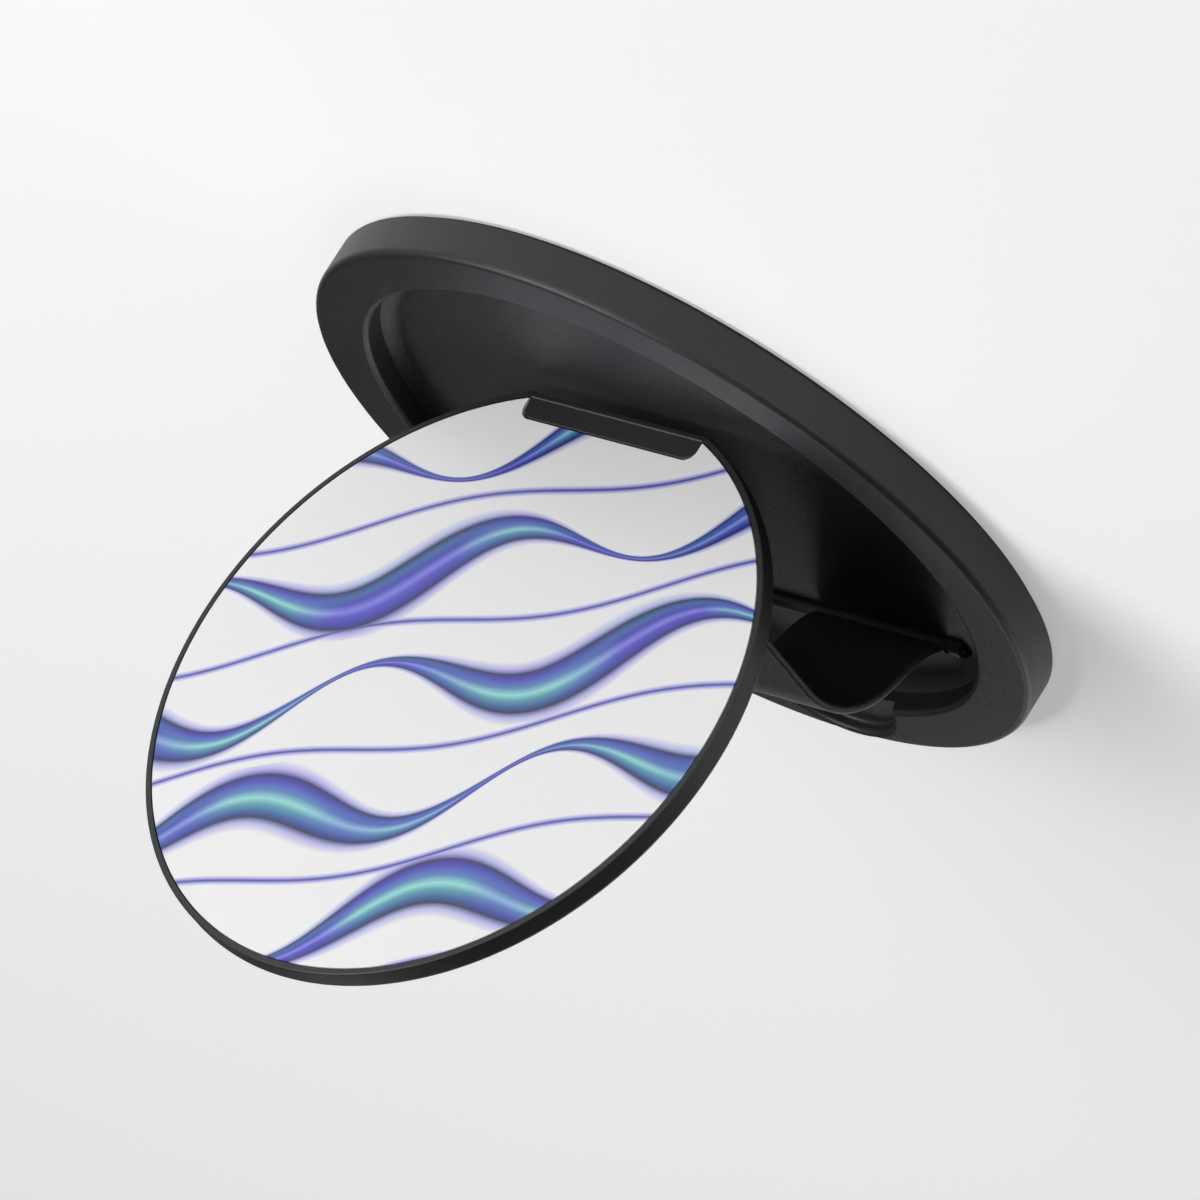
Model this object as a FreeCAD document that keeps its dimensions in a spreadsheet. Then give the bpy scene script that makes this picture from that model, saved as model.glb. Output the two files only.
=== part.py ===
import FreeCAD, Part
import os
import Sketcher

# A magnetic phone grip: a flat round base that clings to a phone's back, and a thin disc that
# swings out of the base's recess on a folding strap. It is drawn with the disc standing out.
# The origin is the middle of the face that meets the phone, and +Z points away from the phone.
# All sizes are in millimetres, and angles are in degrees.
doc = FreeCAD.newDocument("MagneticGrip")
sheet = doc.addObject("Spreadsheet::Sheet", "Sizes")

DRIVING_SIZES = (
    ("disc_radius", "23.75", "outside of the disc"),
    ("disc_thick", "1.75", "back of the disc to its face"),
    ("disc_clearance", "0.35", "gap between the closed disc and the recess wall"),
    ("rim_width", "0.45", "black lip that shows round the face plate"),
    ("plate_thick", "0.45", "printed face plate"),
    ("plate_gap", "0.05", "gap between the face plate and the lip"),
    ("tape_thick", "0.1", "adhesive under the face plate"),
    ("tape_inset", "0.7", "edge of the face plate to the edge of the adhesive"),
    ("notch_half", "8.5", "half the width of the straight cut in the disc"),
    ("ledge_depth", "1.75", "black ledge between the straight cut and the face plate"),
    ("ledge_drop", "0.12", "ledge below the face"),
    ("ledge_round", "0.9", "corners of the ledge"),
    ("edge_bevel", "0.6", "bevel along the straight cut"),
    ("disc_bevel", "0.4", "bevel round the back of the disc"),
    ("catch_radius", "1.5", "catch magnets in the disc"),
    ("catch_thick", "0.5", "catch magnets in the disc"),
    ("catch_spread", "6", "catch magnets to the middle line"),
    ("catch_inset", "3.75", "middle of the catch magnets to the far edge of the disc"),
    ("inner_wall", "0.6", "wall between the recess and the magnet channel"),
    ("channel_width", "2.9", "magnet channel"),
    ("outer_wall", "0.8", "wall outside the magnet channel"),
    ("pad_thick", "0.4", "soft pad that meets the phone"),
    ("pad_inset", "0.5", "edge of the base to the edge of the pad"),
    ("pad_bevel", "0.15", "edge of the pad"),
    ("floor_thick", "0.5", "floor of the recess"),
    ("strap_space", "0.85", "floor to the back of the closed disc"),
    ("cover_thick", "0.3", "ring that closes the magnet channel"),
    ("magnet_thick", "1.3", "magnets"),
    ("magnet_gap", "0.25", "gap between neighbouring magnets, at mid width"),
    ("channel_gap", "0.05", "gap beside what lies in the channel"),
    ("shield_thick", "0.35", "steel shield over the magnets"),
    ("outer_bevel", "0.35", "outer top edge of the base"),
    ("inner_bevel", "0.25", "edge of the recess"),
    ("scoop_radius", "6.2", "finger scoop in the rim"),
    ("scoop_inset", "2.5", "centre of the scoop inside the recess wall"),
    ("scoop_depth", "0.95", "finger scoop below the rim"),
    ("strap_half", "14.5", "half the width of the strap"),
    ("strap_thick", "0.6", "strap"),
    ("slot_half", "2.7", "half the width of the slot in the strap"),
    ("slot_reach", "4", "slot past the bend, to the middle of its round end"),
    ("bend_radius", "7", "middle of the strap where it bends"),
    ("open_angle", "65", "root of the strap above the base, disc out"),
    ("disc_angle", "90", "disc to the base, disc out"),
    ("root_inset", "8.45", "root pin to the edge of the closed disc"),
    ("knee_run", "10.72", "root pin to the middle of the bend, strap flat"),
    ("head_inset", "11.05", "head pin to the edge of the disc"),
    ("root_rise", "0.15", "root pin above the floor"),
    ("head_drop", "0.15", "head pin below the disc's back"),
    ("pin_radius", "0.3", "hinge pins"),
    ("pin_clearance", "0.03", "gap round a pin in the strap"),
    ("barrel_radius", "0.6", "rolled ends of the strap"),
    ("barrel_gap", "0.2", "gap round a rolled end"),
    ("washer_thick", "0.2", "friction washers"),
    ("washer_gap", "0.05", "gap on each side of a washer"),
    ("lug_thick", "1.6", "lugs that hold the pins"),
)
MAGNET_COUNT = 16

for row, (alias, number, words) in enumerate(DRIVING_SIZES, start=1):
    sheet.set(f"A{row}", number)
    sheet.setAlias(f"A{row}", alias)
    sheet.set(f"B{row}", words)
doc.recompute()


def value(expression):
    return float(sheet.evalExpression(expression))


# Levels, from the phone outwards, with the disc shut flush with the rim
floor_top = "(Sizes.pad_thick + Sizes.floor_thick)"
disc_back = f"({floor_top} + Sizes.strap_space)"
ring_top = f"({disc_back} + Sizes.disc_thick)"
cover_top = "(Sizes.pad_thick + Sizes.cover_thick)"
magnet_top = f"({cover_top} + Sizes.magnet_thick)"
channel_top = f"({magnet_top} + Sizes.shield_thick)"
strap_level = f"({floor_top} + Sizes.strap_space / 2)"
root_level = f"({floor_top} + Sizes.root_rise)"

# Radii of the base, from the disc outwards
recess_radius = "(Sizes.disc_radius + Sizes.disc_clearance)"
channel_inner = f"({recess_radius} + Sizes.inner_wall)"
channel_outer = f"({channel_inner} + Sizes.channel_width)"
base_radius = f"({channel_outer} + Sizes.outer_wall)"

# Places across the hinges, from the middle outwards
barrel_end = "Sizes.strap_half"
lug_inside = f"({barrel_end} + Sizes.washer_thick + 2 * Sizes.washer_gap)"
lug_outside = f"({lug_inside} + Sizes.lug_thick)"
barrel_room = "(Sizes.barrel_radius + Sizes.barrel_gap)"
bore_radius = "(Sizes.pin_radius + Sizes.pin_clearance)"

# The pins and catches keep their distance from the edge of the disc
root_y = "(Sizes.root_inset - Sizes.disc_radius)"
head_reach = "(Sizes.disc_radius - Sizes.head_inset)"
catch_y = "(Sizes.catch_inset - Sizes.disc_radius)"

# The bend keeps the strap's length: its two panels turn about one axis inside the bend
half_bend = "(Sizes.open_angle / 2)"
bend_run = f"(Sizes.bend_radius * {half_bend} * pi / 180)"
axis_inset = f"(Sizes.bend_radius - {bend_run} / tan({half_bend}))"
knee_rise = f"({strap_level} - {axis_inset} - {root_level})"
knee_y = f"(Sizes.knee_run * cos(Sizes.open_angle) - {knee_rise} * sin(Sizes.open_angle) + {root_y})"
lift = f"(Sizes.knee_run * sin(Sizes.open_angle) + {knee_rise} * cos(Sizes.open_angle) - {knee_rise})"
lower_run = f"(Sizes.knee_run - {bend_run})"
upper_run = f"({head_reach} - {root_y} - Sizes.knee_run - {bend_run})"
head_y = f"({knee_y} + {bend_run} + {upper_run})"
head_z = f"({disc_back} - Sizes.head_drop + {lift})"

# The disc's own levels, from its back, and the places along its middle line
plate_floor = "(Sizes.disc_thick - Sizes.plate_thick - Sizes.tape_thick)"
tape_top = "(Sizes.disc_thick - Sizes.plate_thick)"
lip_radius = "(Sizes.disc_radius - Sizes.rim_width)"
chord = "sqrt(Sizes.disc_radius ^ 2 - Sizes.notch_half ^ 2)"
ledge_inside = f"({chord} - Sizes.ledge_depth)"
ledge_half = "(Sizes.notch_half - Sizes.rim_width)"
disc_y = (f"({head_y} - {head_reach} * cos(Sizes.disc_angle)"
          " + Sizes.head_drop * sin(Sizes.disc_angle))")
disc_z = (f"({head_z} + {head_reach} * sin(Sizes.disc_angle)"
          " + Sizes.head_drop * cos(Sizes.disc_angle))")

ALONG_X = FreeCAD.Rotation(FreeCAD.Vector(0, 1, 0), 90)
nodes = []


def keep(piece, label):
    piece.Label = label
    nodes.append(piece)
    return piece


def new_body(label):
    return keep(doc.addObject("PartDesign::Body", label), label)


def new_sketch(body, name, role, height="0"):
    sketch = body.newObject("Sketcher::SketchObject", f"{body.Name}_{name}")
    plane = next(item for item in body.Origin.OriginFeatures if item.Role == role)
    sketch.AttachmentSupport = (plane, [""])
    sketch.MapMode = "FlatFace"
    if height != "0":
        sketch.setExpression("AttachmentOffset.Base.z", height)
    return sketch


def fix_point(sketch, curve, point, x, y):
    for kind, axis_line, place in (("DistanceX", -2, x), ("DistanceY", -1, y)):
        if place == "0":
            sketch.addConstraint(Sketcher.Constraint("PointOnObject", curve, point, axis_line))
            continue
        index = sketch.addConstraint(Sketcher.Constraint(kind, -1, 1, curve, point, value(place)))
        sketch.setExpression(f"Constraints[{index}]", place)


def draw_polygon(sketch, corners):
    spots = [FreeCAD.Vector(value(x), value(y), 0) for x, y in corners]
    first = sketch.GeometryCount
    for start, end in zip(spots, spots[1:] + spots[:1]):
        sketch.addGeometry(Part.LineSegment(start, end))
    for index, (x, y) in enumerate(corners):
        following = first + (index + 1) % len(corners)
        sketch.addConstraint(Sketcher.Constraint("Coincident", first + index, 2, following, 1))
        fix_point(sketch, first + index, 1, x, y)


def draw_rectangle(sketch, left, right, low, high):
    draw_polygon(sketch, [(left, low), (right, low), (right, high), (left, high)])


def draw_circle(sketch, x, y, radius):
    centre = FreeCAD.Vector(value(x), value(y), 0)
    curve = sketch.addGeometry(Part.Circle(centre, FreeCAD.Vector(0, 0, 1), value(radius)))
    index = sketch.addConstraint(Sketcher.Constraint("Radius", curve, value(radius)))
    sketch.setExpression(f"Constraints[{index}]", radius)
    fix_point(sketch, curve, 3, x, y)


def pad(sketch, length, both_ways=False, downwards=False):
    feature = sketch.getParentGeoFeatureGroup().newObject("PartDesign::Pad", f"{sketch.Name}_pad")
    feature.Profile = sketch
    feature.setExpression("Length", length)
    feature.SideType = "Symmetric" if both_ways else "One side"
    feature.Reversed = downwards
    doc.recompute()
    return feature


def pocket(sketch, length, both_ways=False, upwards=False):
    body = sketch.getParentGeoFeatureGroup()
    before = body.Shape.Volume
    feature = body.newObject("PartDesign::Pocket", f"{sketch.Name}_pocket")
    feature.Profile = sketch
    feature.setExpression("Length", length)
    feature.SideType = "Symmetric" if both_ways else "One side"
    feature.Reversed = upwards
    doc.recompute()
    if not body.Shape.Volume < before:
        raise RuntimeError(f"{feature.Name} cuts nothing")
    return feature


def ease_edges(body, kind, name, size, wanted):
    tip = body.Tip
    picked = [f"Edge{number}" for number, edge in enumerate(tip.Shape.Edges, start=1) if wanted(edge)]
    if not picked:
        raise RuntimeError(f"{name} finds no edge")
    feature = body.newObject(f"PartDesign::{kind}", f"{body.Name}_{name}")
    feature.Base = (tip, picked)
    feature.setExpression("Radius" if kind == "Fillet" else "Size", size)
    doc.recompute()
    return feature


def near(first, second):
    return abs(first - second) < 0.001


def on_ring(radius, level):
    far, height = value(radius), value(level)

    def wanted(edge):
        box = edge.BoundBox
        flat = near(box.ZMin, height) and near(box.ZMax, height)
        return flat and all(near((p.x ** 2 + p.y ** 2) ** 0.5, far) for p in edge.discretize(5))
    return wanted


def mirrored(body, features):
    feature = body.newObject("PartDesign::Mirrored", f"{body.Name}_mirrored")
    feature.Originals = features
    plane = next(item for item in body.Origin.OriginFeatures if item.Role == "YZ_Plane")
    feature.MirrorPlane = (plane, [""])
    body.Tip = feature
    doc.recompute()
    return feature


def cylinder(name, radius, height):
    solid = doc.addObject("Part::Cylinder", name)
    solid.setExpression("Radius", radius)
    solid.setExpression("Height", height)
    return solid


def cut(name, base, tool):
    result = doc.addObject("Part::Cut", name)
    result.Base = base
    result.Tool = tool
    return result


def set_base(piece, **places):
    for axis, place in places.items():
        piece.setExpression(f"Placement.Base.{axis}", place)


def seat_in_disc(piece):
    piece.Placement = FreeCAD.Placement(FreeCAD.Vector(), FreeCAD.Rotation(FreeCAD.Vector(-1, 0, 0), 90))
    piece.setExpression("Placement.Rotation.Angle", "Sizes.disc_angle")
    set_base(piece, y=disc_y, z=disc_z)


# Pin lugs stand on a face and close round the pin in a half circle
def add_lugs(body, y, axis_level, foot_level):
    stem = new_sketch(body, "lug_stem", "YZ_Plane", lug_inside)
    low, high = sorted((axis_level, foot_level), key=value)
    draw_rectangle(stem, f"{y} - {barrel_room}", f"{y} + {barrel_room}", low, high)
    stem_pad = pad(stem, "Sizes.lug_thick")
    crown = new_sketch(body, "lug_crown", "YZ_Plane", lug_inside)
    draw_circle(crown, y, axis_level, "Sizes.barrel_radius")
    crown_pad = pad(crown, "Sizes.lug_thick")
    mirrored(body, [stem_pad, crown_pad])
    hole = new_sketch(body, "pin_hole", "YZ_Plane")
    draw_circle(hole, y, axis_level, "Sizes.pin_radius")
    pocket(hole, f"2 * {lug_outside}", both_ways=True)


# Base housing: a rim round a shallow recess, with a channel for magnets below the rim
def make_base_housing():
    body = new_body("base_housing")
    profile = new_sketch(body, "section", "XZ_Plane")
    draw_polygon(profile, [
        ("0", "Sizes.pad_thick"),
        (channel_inner, "Sizes.pad_thick"),
        (channel_inner, channel_top),
        (channel_outer, channel_top),
        (channel_outer, "Sizes.pad_thick"),
        (base_radius, "Sizes.pad_thick"),
        (base_radius, ring_top),
        (recess_radius, ring_top),
        (recess_radius, floor_top),
        ("0", floor_top),
    ])
    turned = body.newObject("PartDesign::Revolution", "base_housing_turned")
    turned.Profile = profile
    turned.ReferenceAxis = (profile, ["V_Axis"])
    turned.Angle = 360
    doc.recompute()
    ease_edges(body, "Chamfer", "outer_bevel", "Sizes.outer_bevel", on_ring(base_radius, ring_top))
    ease_edges(body, "Chamfer", "inner_bevel", "Sizes.inner_bevel", on_ring(recess_radius, ring_top))
    scoop = new_sketch(body, "scoop", "XY_Plane", f"{ring_top} - Sizes.scoop_depth")
    draw_circle(scoop, "0", f"Sizes.scoop_inset - {recess_radius}", "Sizes.scoop_radius")
    pocket(scoop, "2 * Sizes.scoop_depth", upwards=True)
    slot = new_sketch(body, "hinge_slot", "XY_Plane", floor_top)
    low = f"({root_y} - {barrel_room})"
    high = f"({root_y} + {barrel_room})"
    draw_rectangle(slot, f"-{lug_inside}", lug_inside, low, high)
    pocket(slot, "2 * Sizes.floor_thick")
    add_lugs(body, root_y, root_level, "Sizes.pad_thick")


# Soft pad that grips the phone's back
def make_contact_pad():
    body = new_body("contact_pad")
    outline = new_sketch(body, "outline", "XY_Plane")
    radius = f"({base_radius} - Sizes.pad_inset)"
    draw_circle(outline, "0", "0", radius)
    pad(outline, "Sizes.pad_thick")
    ease_edges(body, "Chamfer", "edge", "Sizes.pad_bevel", on_ring(radius, "0"))


# What lies in the channel: a ring of arc magnets between a cover and a steel shield
def make_channel_ring(label, level, thickness):
    outer = cylinder(f"{label}_outer", f"{channel_outer} - Sizes.channel_gap", thickness)
    inner = cylinder(f"{label}_inner", f"{channel_inner} + Sizes.channel_gap", thickness)
    ring = keep(cut(label, outer, inner), label)
    set_base(ring, z=level)
    return outer


def make_magnets():
    mid_radius = f"(({channel_inner} + {channel_outer}) / 2)"
    pitch = f"(360 / {MAGNET_COUNT})"
    gap_angle = f"(Sizes.magnet_gap / {mid_radius} * 180 / pi)"
    for index in range(MAGNET_COUNT):
        label = f"magnet_{index + 1:02d}"
        sector = make_channel_ring(label, cover_top, "Sizes.magnet_thick")
        sector.setExpression("Angle", f"{pitch} - {gap_angle}")
        magnet = nodes[-1]
        magnet.Placement.Rotation = FreeCAD.Rotation(FreeCAD.Vector(0, 0, 1), 1)
        magnet.setExpression("Placement.Rotation.Angle", f"{index} * {pitch} + {gap_angle} / 2")


# Hinge pins with a thin friction washer at each end of the strap's rolled edge
def make_pin(label, y, z):
    pin = keep(cylinder(label, "Sizes.pin_radius", f"2 * {lug_outside}"), label)
    pin.Placement.Rotation = ALONG_X
    set_base(pin, x=f"-{lug_outside}", y=y, z=z)


def make_washers(label, y, z):
    outer_half = f"({barrel_end} + Sizes.washer_gap + Sizes.washer_thick)"
    inner_half = f"({barrel_end} + Sizes.washer_gap)"
    rod = cylinder(f"{label}_rod", "Sizes.barrel_radius", f"2 * {outer_half}")
    bore = cylinder(f"{label}_bore", bore_radius, f"2 * {outer_half}")
    middle = cylinder(f"{label}_middle", f"2 * {barrel_room}", f"2 * {inner_half}")
    set_base(middle, z=f"{outer_half} - {inner_half}")
    pair = keep(cut(label, cut(f"{label}_tube", rod, bore), middle), label)
    pair.Placement.Rotation = ALONG_X
    set_base(pair, x=f"-{outer_half}", y=y, z=z)


# A strap panel is a flat leaf with one edge rolled round a pin along its own X axis
def add_barrel(body):
    barrel = new_sketch(body, "barrel", "YZ_Plane")
    draw_circle(barrel, "0", "0", "Sizes.barrel_radius")
    pad(barrel, f"2 * {barrel_end}", both_ways=True)


def bore_barrel(body):
    bore = new_sketch(body, "bore", "YZ_Plane")
    draw_circle(bore, "0", "0", bore_radius)
    pocket(bore, f"4 * {barrel_end}", both_ways=True)


# The lower panel is two legs on one rolled edge
def make_lower_panel():
    body = new_body("strap_lower_panel")
    add_barrel(body)
    underside = f"{strap_level} - {root_level} - Sizes.strap_thick / 2"
    leg = new_sketch(body, "leg", "XY_Plane", underside)
    draw_rectangle(leg, "Sizes.slot_half", barrel_end, "0", lower_run)
    mirrored(body, [pad(leg, "Sizes.strap_thick")])
    bore_barrel(body)
    body.Placement.Rotation = FreeCAD.Rotation(FreeCAD.Vector(1, 0, 0), 1)
    body.setExpression("Placement.Rotation.Angle", "Sizes.open_angle")
    set_base(body, y=root_y, z=root_level)


# The upper panel is one leaf, where the strap's slot comes to a round end
def make_upper_panel():
    body = new_body("strap_upper_panel")
    add_barrel(body)
    underside = "Sizes.head_drop - Sizes.strap_space / 2 - Sizes.strap_thick / 2"
    leaf = new_sketch(body, "leaf", "XY_Plane", underside)
    draw_rectangle(leaf, f"-{barrel_end}", barrel_end, f"-{upper_run}", "0")
    pad(leaf, "Sizes.strap_thick")
    slot_end = f"(Sizes.slot_reach - {upper_run})"
    slot = new_sketch(body, "slot", "XY_Plane")
    draw_rectangle(slot, "-Sizes.slot_half", "Sizes.slot_half", f"-2 * {upper_run}", slot_end)
    pocket(slot, "4 * Sizes.barrel_radius", both_ways=True)
    slot_round = new_sketch(body, "slot_round", "XY_Plane")
    draw_circle(slot_round, "0", slot_end, "Sizes.slot_half")
    pocket(slot_round, "4 * Sizes.barrel_radius", both_ways=True)
    bore_barrel(body)
    set_base(body, y=head_y, z=head_z)


# The bend between the panels is two bands of one arc
def make_knee():
    label = "strap_knee"
    width = f"2 * {barrel_end}"
    outer_radius = "(Sizes.bend_radius + Sizes.strap_thick / 2)"
    outer = cylinder(f"{label}_outer", outer_radius, width)
    outer.setExpression("Angle", "Sizes.open_angle")
    inner = cylinder(f"{label}_inner", "Sizes.bend_radius - Sizes.strap_thick / 2", width)
    slot = doc.addObject("Part::Box", f"{label}_slot")
    for side in ("Length", "Width"):
        slot.setExpression(side, f"2 * {outer_radius}")
    slot.setExpression("Height", "2 * Sizes.slot_half")
    set_base(slot, x=f"-{outer_radius}", y=f"-{outer_radius}", z=f"{barrel_end} - Sizes.slot_half")
    bands = keep(cut(label, cut(f"{label}_band", outer, inner), slot), label)
    bands.Placement.Rotation = FreeCAD.Rotation(FreeCAD.Vector(1, 0, 1), 180)
    set_base(bands, x=f"-{barrel_end}", y=f"{knee_y} + {bend_run}",
             z=f"{strap_level} + {lift} - Sizes.bend_radius")


# The disc is cut straight where it passes close over the floor
def cut_straight(body, y):
    segment = new_sketch(body, "segment", "XY_Plane")
    draw_rectangle(segment, "-Sizes.disc_radius", "Sizes.disc_radius", y, "2 * Sizes.disc_radius")
    pocket(segment, "4 * Sizes.disc_thick", both_ways=True)


def bevel_straight(body, name, level, outwards):
    inwards = "-" if outwards == "+" else "+"
    wedge = new_sketch(body, name, "YZ_Plane")
    beyond = f"{chord} + Sizes.edge_bevel"
    draw_polygon(wedge, [
        (f"{chord} - 2 * Sizes.edge_bevel", f"{level} {outwards} Sizes.edge_bevel"),
        (beyond, f"{level} {outwards} Sizes.edge_bevel"),
        (beyond, f"{level} {inwards} 2 * Sizes.edge_bevel"),
    ])
    pocket(wedge, "2 * Sizes.disc_radius", both_ways=True)


def upright_at(x, y):
    across, along = value(x), value(y)

    def wanted(edge):
        box = edge.BoundBox
        upright = near(box.XMin, box.XMax) and near(box.YMin, box.YMax)
        return upright and near(abs(box.XMin), across) and near(box.YMin, along)
    return wanted


# Disc tray: the black back and lip of the disc
def make_disc_tray():
    body = new_body("disc_tray")
    outline = new_sketch(body, "outline", "XY_Plane")
    draw_circle(outline, "0", "0", "Sizes.disc_radius")
    pad(outline, "Sizes.disc_thick")
    ease_edges(body, "Chamfer", "back_bevel", "Sizes.disc_bevel", on_ring("Sizes.disc_radius", "0"))
    seat = new_sketch(body, "plate_seat", "XY_Plane", plate_floor)
    draw_circle(seat, "0", "0", lip_radius)
    pocket(seat, "Sizes.disc_thick", upwards=True)
    ledge = new_sketch(body, "ledge", "XY_Plane", plate_floor)
    draw_rectangle(ledge, f"-{ledge_half}", ledge_half, ledge_inside, "Sizes.disc_radius")
    pad(ledge, f"Sizes.disc_thick - {plate_floor} - Sizes.ledge_drop")
    ease_edges(body, "Fillet", "ledge_round", "Sizes.ledge_round",
               upright_at(ledge_half, ledge_inside))
    cut_straight(body, chord)
    bevel_straight(body, "straight_back_bevel", "0", "-")
    bevel_straight(body, "straight_face_bevel", "(Sizes.disc_thick - Sizes.ledge_drop)", "+")
    catches = new_sketch(body, "catch_seats", "XY_Plane", f"{plate_floor} - Sizes.catch_thick")
    for side in ("-", ""):
        draw_circle(catches, f"{side}Sizes.catch_spread", catch_y, "Sizes.catch_radius")
    pocket(catches, "Sizes.catch_thick", upwards=True)
    groove = new_sketch(body, "hinge_groove", "XY_Plane")
    draw_rectangle(groove, f"-{lug_inside}", lug_inside, f"{head_reach} - {barrel_room}",
                   f"{head_reach} + {barrel_room}")
    pocket(groove, f"{barrel_room} - Sizes.head_drop", upwards=True)
    add_lugs(body, head_reach, "-Sizes.head_drop", "Sizes.edge_bevel")
    seat_in_disc(body)


# Printed face plate, let into the tray on a film of adhesive
def make_face_plate():
    body = new_body("face_plate")
    outline = new_sketch(body, "outline", "XY_Plane", tape_top)
    draw_circle(outline, "0", "0", f"{lip_radius} - Sizes.plate_gap")
    pad(outline, "Sizes.plate_thick")
    notch = new_sketch(body, "notch", "XY_Plane", tape_top)
    half = f"({ledge_half} + Sizes.plate_gap)"
    inside = f"({ledge_inside} - Sizes.plate_gap)"
    draw_rectangle(notch, f"-{half}", half, inside, "2 * Sizes.disc_radius")
    pocket(notch, "Sizes.disc_thick", upwards=True)
    ease_edges(body, "Fillet", "notch_round", "Sizes.ledge_round", upright_at(half, inside))
    seat_in_disc(body)


def make_plate_tape():
    body = new_body("plate_tape")
    outline = new_sketch(body, "outline", "XY_Plane", plate_floor)
    draw_circle(outline, "0", "0", f"{lip_radius} - Sizes.tape_inset")
    pad(outline, "Sizes.tape_thick")
    cut_straight(body, f"({ledge_inside} - Sizes.tape_inset)")
    seat_in_disc(body)


def make_catch_magnets():
    for side, label in (("-", "catch_magnet_left"), ("", "catch_magnet_right")):
        body = new_body(label)
        outline = new_sketch(body, "outline", "XY_Plane", f"{plate_floor} - Sizes.catch_thick")
        draw_circle(outline, f"{side}Sizes.catch_spread", catch_y, "Sizes.catch_radius")
        pad(outline, "Sizes.catch_thick")
        seat_in_disc(body)


def check_and_write():
    doc.recompute()
    for item in doc.Objects:
        if "Invalid" in item.State or "Error" in item.State:
            raise RuntimeError(f"{item.Name} failed: {item.State}")
    for piece in nodes:
        if piece.Shape.isNull() or not piece.Shape.isValid():
            raise RuntimeError(f"{piece.Label} has no valid shape")
    os.makedirs("parts", exist_ok=True)
    for piece in nodes:
        piece.Shape.exportStep(f"parts/{piece.Label}.step")
        print(piece.Label, len(piece.Shape.Solids), round(piece.Shape.Volume, 3))


make_base_housing()
make_contact_pad()
make_channel_ring("channel_cover", "Sizes.pad_thick", "Sizes.cover_thick")
make_magnets()
make_channel_ring("shield_ring", magnet_top, "Sizes.shield_thick")
make_pin("root_pin", root_y, root_level)
make_washers("root_washers", root_y, root_level)
make_lower_panel()
make_knee()
make_upper_panel()
make_pin("head_pin", head_y, head_z)
make_washers("head_washers", head_y, head_z)
make_disc_tray()
make_face_plate()
make_plate_tape()
make_catch_magnets()
check_and_write()
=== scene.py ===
import math

import bmesh
import bpy
from mathutils import Matrix, Vector


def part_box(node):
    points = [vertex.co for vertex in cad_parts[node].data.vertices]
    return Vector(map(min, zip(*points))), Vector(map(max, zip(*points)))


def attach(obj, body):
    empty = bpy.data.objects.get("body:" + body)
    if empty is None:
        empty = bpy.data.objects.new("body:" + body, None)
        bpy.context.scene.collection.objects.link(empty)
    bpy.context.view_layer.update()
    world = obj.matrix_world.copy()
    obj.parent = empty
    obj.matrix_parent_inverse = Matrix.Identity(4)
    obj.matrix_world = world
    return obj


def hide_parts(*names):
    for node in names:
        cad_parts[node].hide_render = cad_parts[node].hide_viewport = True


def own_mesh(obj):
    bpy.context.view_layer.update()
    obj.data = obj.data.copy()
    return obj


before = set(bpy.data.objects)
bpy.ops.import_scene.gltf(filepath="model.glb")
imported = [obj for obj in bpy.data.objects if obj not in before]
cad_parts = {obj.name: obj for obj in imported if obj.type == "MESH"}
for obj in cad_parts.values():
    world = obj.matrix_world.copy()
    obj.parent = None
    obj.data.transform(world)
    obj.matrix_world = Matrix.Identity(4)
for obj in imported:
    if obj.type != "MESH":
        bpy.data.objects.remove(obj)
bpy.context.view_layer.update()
mm = 0.001
pickSlack = 0.01 * mm        # how far off a point may be and still be picked by its place
ringSlack = 0.03 * mm        # the same on a ring, which is made of short straight edges
mergeSlack = 0.0005 * mm     # points of a finished piece nearer than this are one
cutSlack = 0.0001 * mm       # points this near to a straight cut lie on it


def hexColour(code):
    parts = [int(code[place:place + 2], 16) / 255 for place in (1, 3, 5)]
    linear = [p / 12.92 if p <= 0.04045 else ((p + 0.055) / 1.055) ** 2.4 for p in parts]
    return (*linear, 1.0)


# Adds a node: settings go to its inputs or its properties, and a ramp's stops are (place, hex colour)
def addNode(tree, kind, settings=None, links=None):
    node = tree.nodes.new(kind)
    for name, setting in (settings or {}).items():
        if name == "stops":
            ramp = node.color_ramp.elements
            while len(ramp) < len(setting):
                ramp.new(1.0)
            for stop, (place, code) in zip(ramp, setting):
                stop.position = place
                stop.color = hexColour(code)
        elif isinstance(name, int) or name in node.inputs:
            node.inputs[name].default_value = setting
        else:
            setattr(node, name, setting)
    for name, source in (links or {}).items():
        tree.links.new(source, node.inputs[name])
    return node


def newMaterial(name):
    material = bpy.data.materials.new(name)
    material.use_nodes = True
    tree = material.node_tree
    tree.nodes.clear()
    output = addNode(tree, "ShaderNodeOutputMaterial")
    shader = addNode(tree, "ShaderNodeBsdfPrincipled")
    tree.links.new(shader.outputs["BSDF"], output.inputs["Surface"])
    coordinates = addNode(tree, "ShaderNodeTexCoord")
    return material, tree, shader, coordinates.outputs["Object"]


grainDepth = 0.3             # depth of a grain, as a share of its width


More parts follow.
